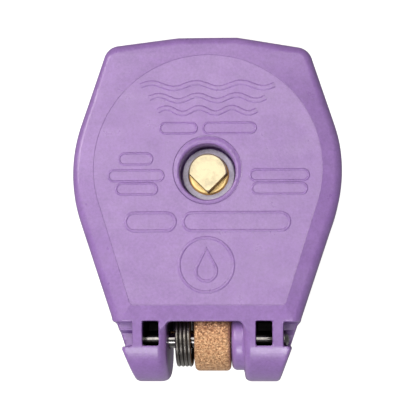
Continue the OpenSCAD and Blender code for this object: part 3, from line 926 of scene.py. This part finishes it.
def rubber():
    look = Look("rubber", BLACK_RUBBER, 0.0, 0.55)
    dusty = tinted(BLACK_RUBBER, 1.8)
    look.set("Base Color", look.ramp(look.noise(2, 3), (0.3, BLACK_RUBBER), (0.7, dusty)))
    look.bump(look.noise(0.3, 2), 0.01)
    return look.material


# ---------------------------------------------------------------- stage

CAMERA_TARGET = (0.2, -10.3, TOP_Z)
CAMERA_DISTANCE = 0.430
CAMERA_LENS = 132.4
CAMERA_LEAN = (3.0, 5.5)  # degrees from upright, to the right and toward the hinge
WARM = (1.0, 0.96, 0.90)
WHITE = (1.0, 1.0, 1.0)
LIGHT_TARGET = (0, 0, 0.12)
# name, place and size in metres, power in watts, colour
LIGHTS = (
    ("top", (-0.17, 0.17, 1.03), (0.84, 0.56), 4.6, WARM),
    ("left", (-0.80, 0.28, 0.72), (0.4, 0.4), 4.2, WARM),
    ("front", (0.0, -0.74, 0.92), (0.5, 0.26), 4.2, WHITE),
)


def look_at(obj, place, target, up):
    """Puts an object at a place, its own -Z toward the target."""
    away = (place - target).normalized()
    right = Vector(up).cross(away).normalized()
    above = away.cross(right)
    rows = [[right[i], above[i], away[i], place[i]] for i in range(3)]
    obj.matrix_world = Matrix(rows + [[0, 0, 0, 1]])


def make_camera():
    """Almost straight above the cover, a little toward the hinge and to the right."""
    target = Vector(CAMERA_TARGET) * MM
    east, south = (math.radians(a) for a in CAMERA_LEAN)
    toward = Vector((math.sin(east), -math.sin(south), math.cos(math.hypot(east, south))))
    data = bpy.data.cameras.new("photo_camera")
    data.sensor_width = 36
    data.lens = CAMERA_LENS
    camera = bpy.data.objects.new("photo_camera", data)
    bpy.context.scene.collection.objects.link(camera)
    look_at(camera, target + CAMERA_DISTANCE * toward, target, (0, 1, 0))
    bpy.context.scene.camera = camera


def soft_box(name, place, size, power, colour):
    data = bpy.data.lights.new(name, "AREA")
    data.shape = "RECTANGLE"
    data.size, data.size_y = size
    data.energy = power
    data.color = colour
    light = bpy.data.objects.new(name, data)
    bpy.context.scene.collection.objects.link(light)
    look_at(light, Vector(place), Vector(LIGHT_TARGET), (0.01, 1, 0.02))


def stage_plane(name, size, location, look):
    """A flat plane that gives off white light of its own."""
    bpy.ops.mesh.primitive_plane_add(size=size, location=location)
    plane = bpy.context.object
    plane.name = name
    look.bsdf.inputs["Emission Color"].default_value = (*WHITE, 1)
    plane.data.materials.append(look.material)
    return plane


def make_floor():
    """A plain pale floor, which the object doesn't mirror."""
    look = Look("pale_floor", (0.45, 0.45, 0.45), 0, 0.8)
    look.bsdf.inputs["Emission Strength"].default_value = 0.78
    dull, pale = (0.43, 0.43, 0.43), (0.47, 0.47, 0.47)
    look.set("Base Color", look.ramp(look.noise(40, 4), (0.3, dull), (0.7, pale)))
    floor = stage_plane("floor", 6, (0, 0, cad_box[0][2]), look)
    floor.visible_diffuse = floor.visible_glossy = False


def make_bounce_card():
    """A grey card in front, seen only as a reflection in the arms' noses."""
    look = Look("card_grey", (0, 0, 0), 0, 1.0)
    look.set("Emission Strength", look.spread(look.noise(60, 2), 0.3, 0.7, 0.60, 0.64))
    card = stage_plane("bounce_card", 0.8, (0, -0.5, cad_box[0][2] + MM), look)
    card.visible_camera = card.visible_diffuse = card.visible_shadow = False


def make_studio():
    world = bpy.data.worlds.new("studio")
    world.use_nodes = True
    background = world.node_tree.nodes["Background"].inputs
    background["Color"].default_value = (*WHITE, 1)
    background["Strength"].default_value = 0.23
    bpy.context.scene.world = world
    for light in LIGHTS:
        soft_box(*light)
    bpy.context.scene.view_settings.view_transform = "Standard"


# ---------------------------------------------------------------- everything together

make_camera()
make_floor()
make_bounce_card()
make_studio()

plastic = purple_plastic()
bronze = cast_bronze()
brass = turned_metal("turned_brass", BRASS, 0.3)
spindle_brass = turned_metal("spindle_brass", SPINDLE_BRASS, 0.34, end_roughness=0.62)
steel = drawn_steel("drawn_steel", BRIGHT_STEEL, 0.06)
spring_steel = drawn_steel("spring_steel", WIRE_STEEL, 0.32)
plate_steel = turned_metal("plate_steel", PLATE_STEEL, 0.34)
zinc = lavender_zinc()
black = rubber()

for obj in (make_cover(), make_relief()):
    obj.data.materials.append(plastic)
for obj in make_castings():
    obj.data.materials.append(bronze)
for obj in (make_hinge_coil(), make_poppet_coil()):
    obj.data.materials.append(spring_steel)
make_pin().data.materials.append(steel)

NODE_LOOKS = {
    plastic: ("cover",),
    bronze: ("lower_body", "upper_body"),
    black: ("body_oring", "throat_seal", "poppet_washer", "lock_oring"),
    brass: ("stem_guide", "poppet", "poppet_clamp", "lock_nut"),
    spindle_brass: ("lock_spindle",),
    plate_steel: ("poppet_screw", "wave_washer", "thrust_washer", "latch_bar", "latch_screw"),
    spring_steel: ("poppet_spring", "hinge_spring"),
    steel: ("hinge_pin",),
    zinc: ("lock_bush",),
}
for material, names in NODE_LOOKS.items():
    for name in names:
        nodes[name].data.materials.clear()
        nodes[name].data.materials.append(material)
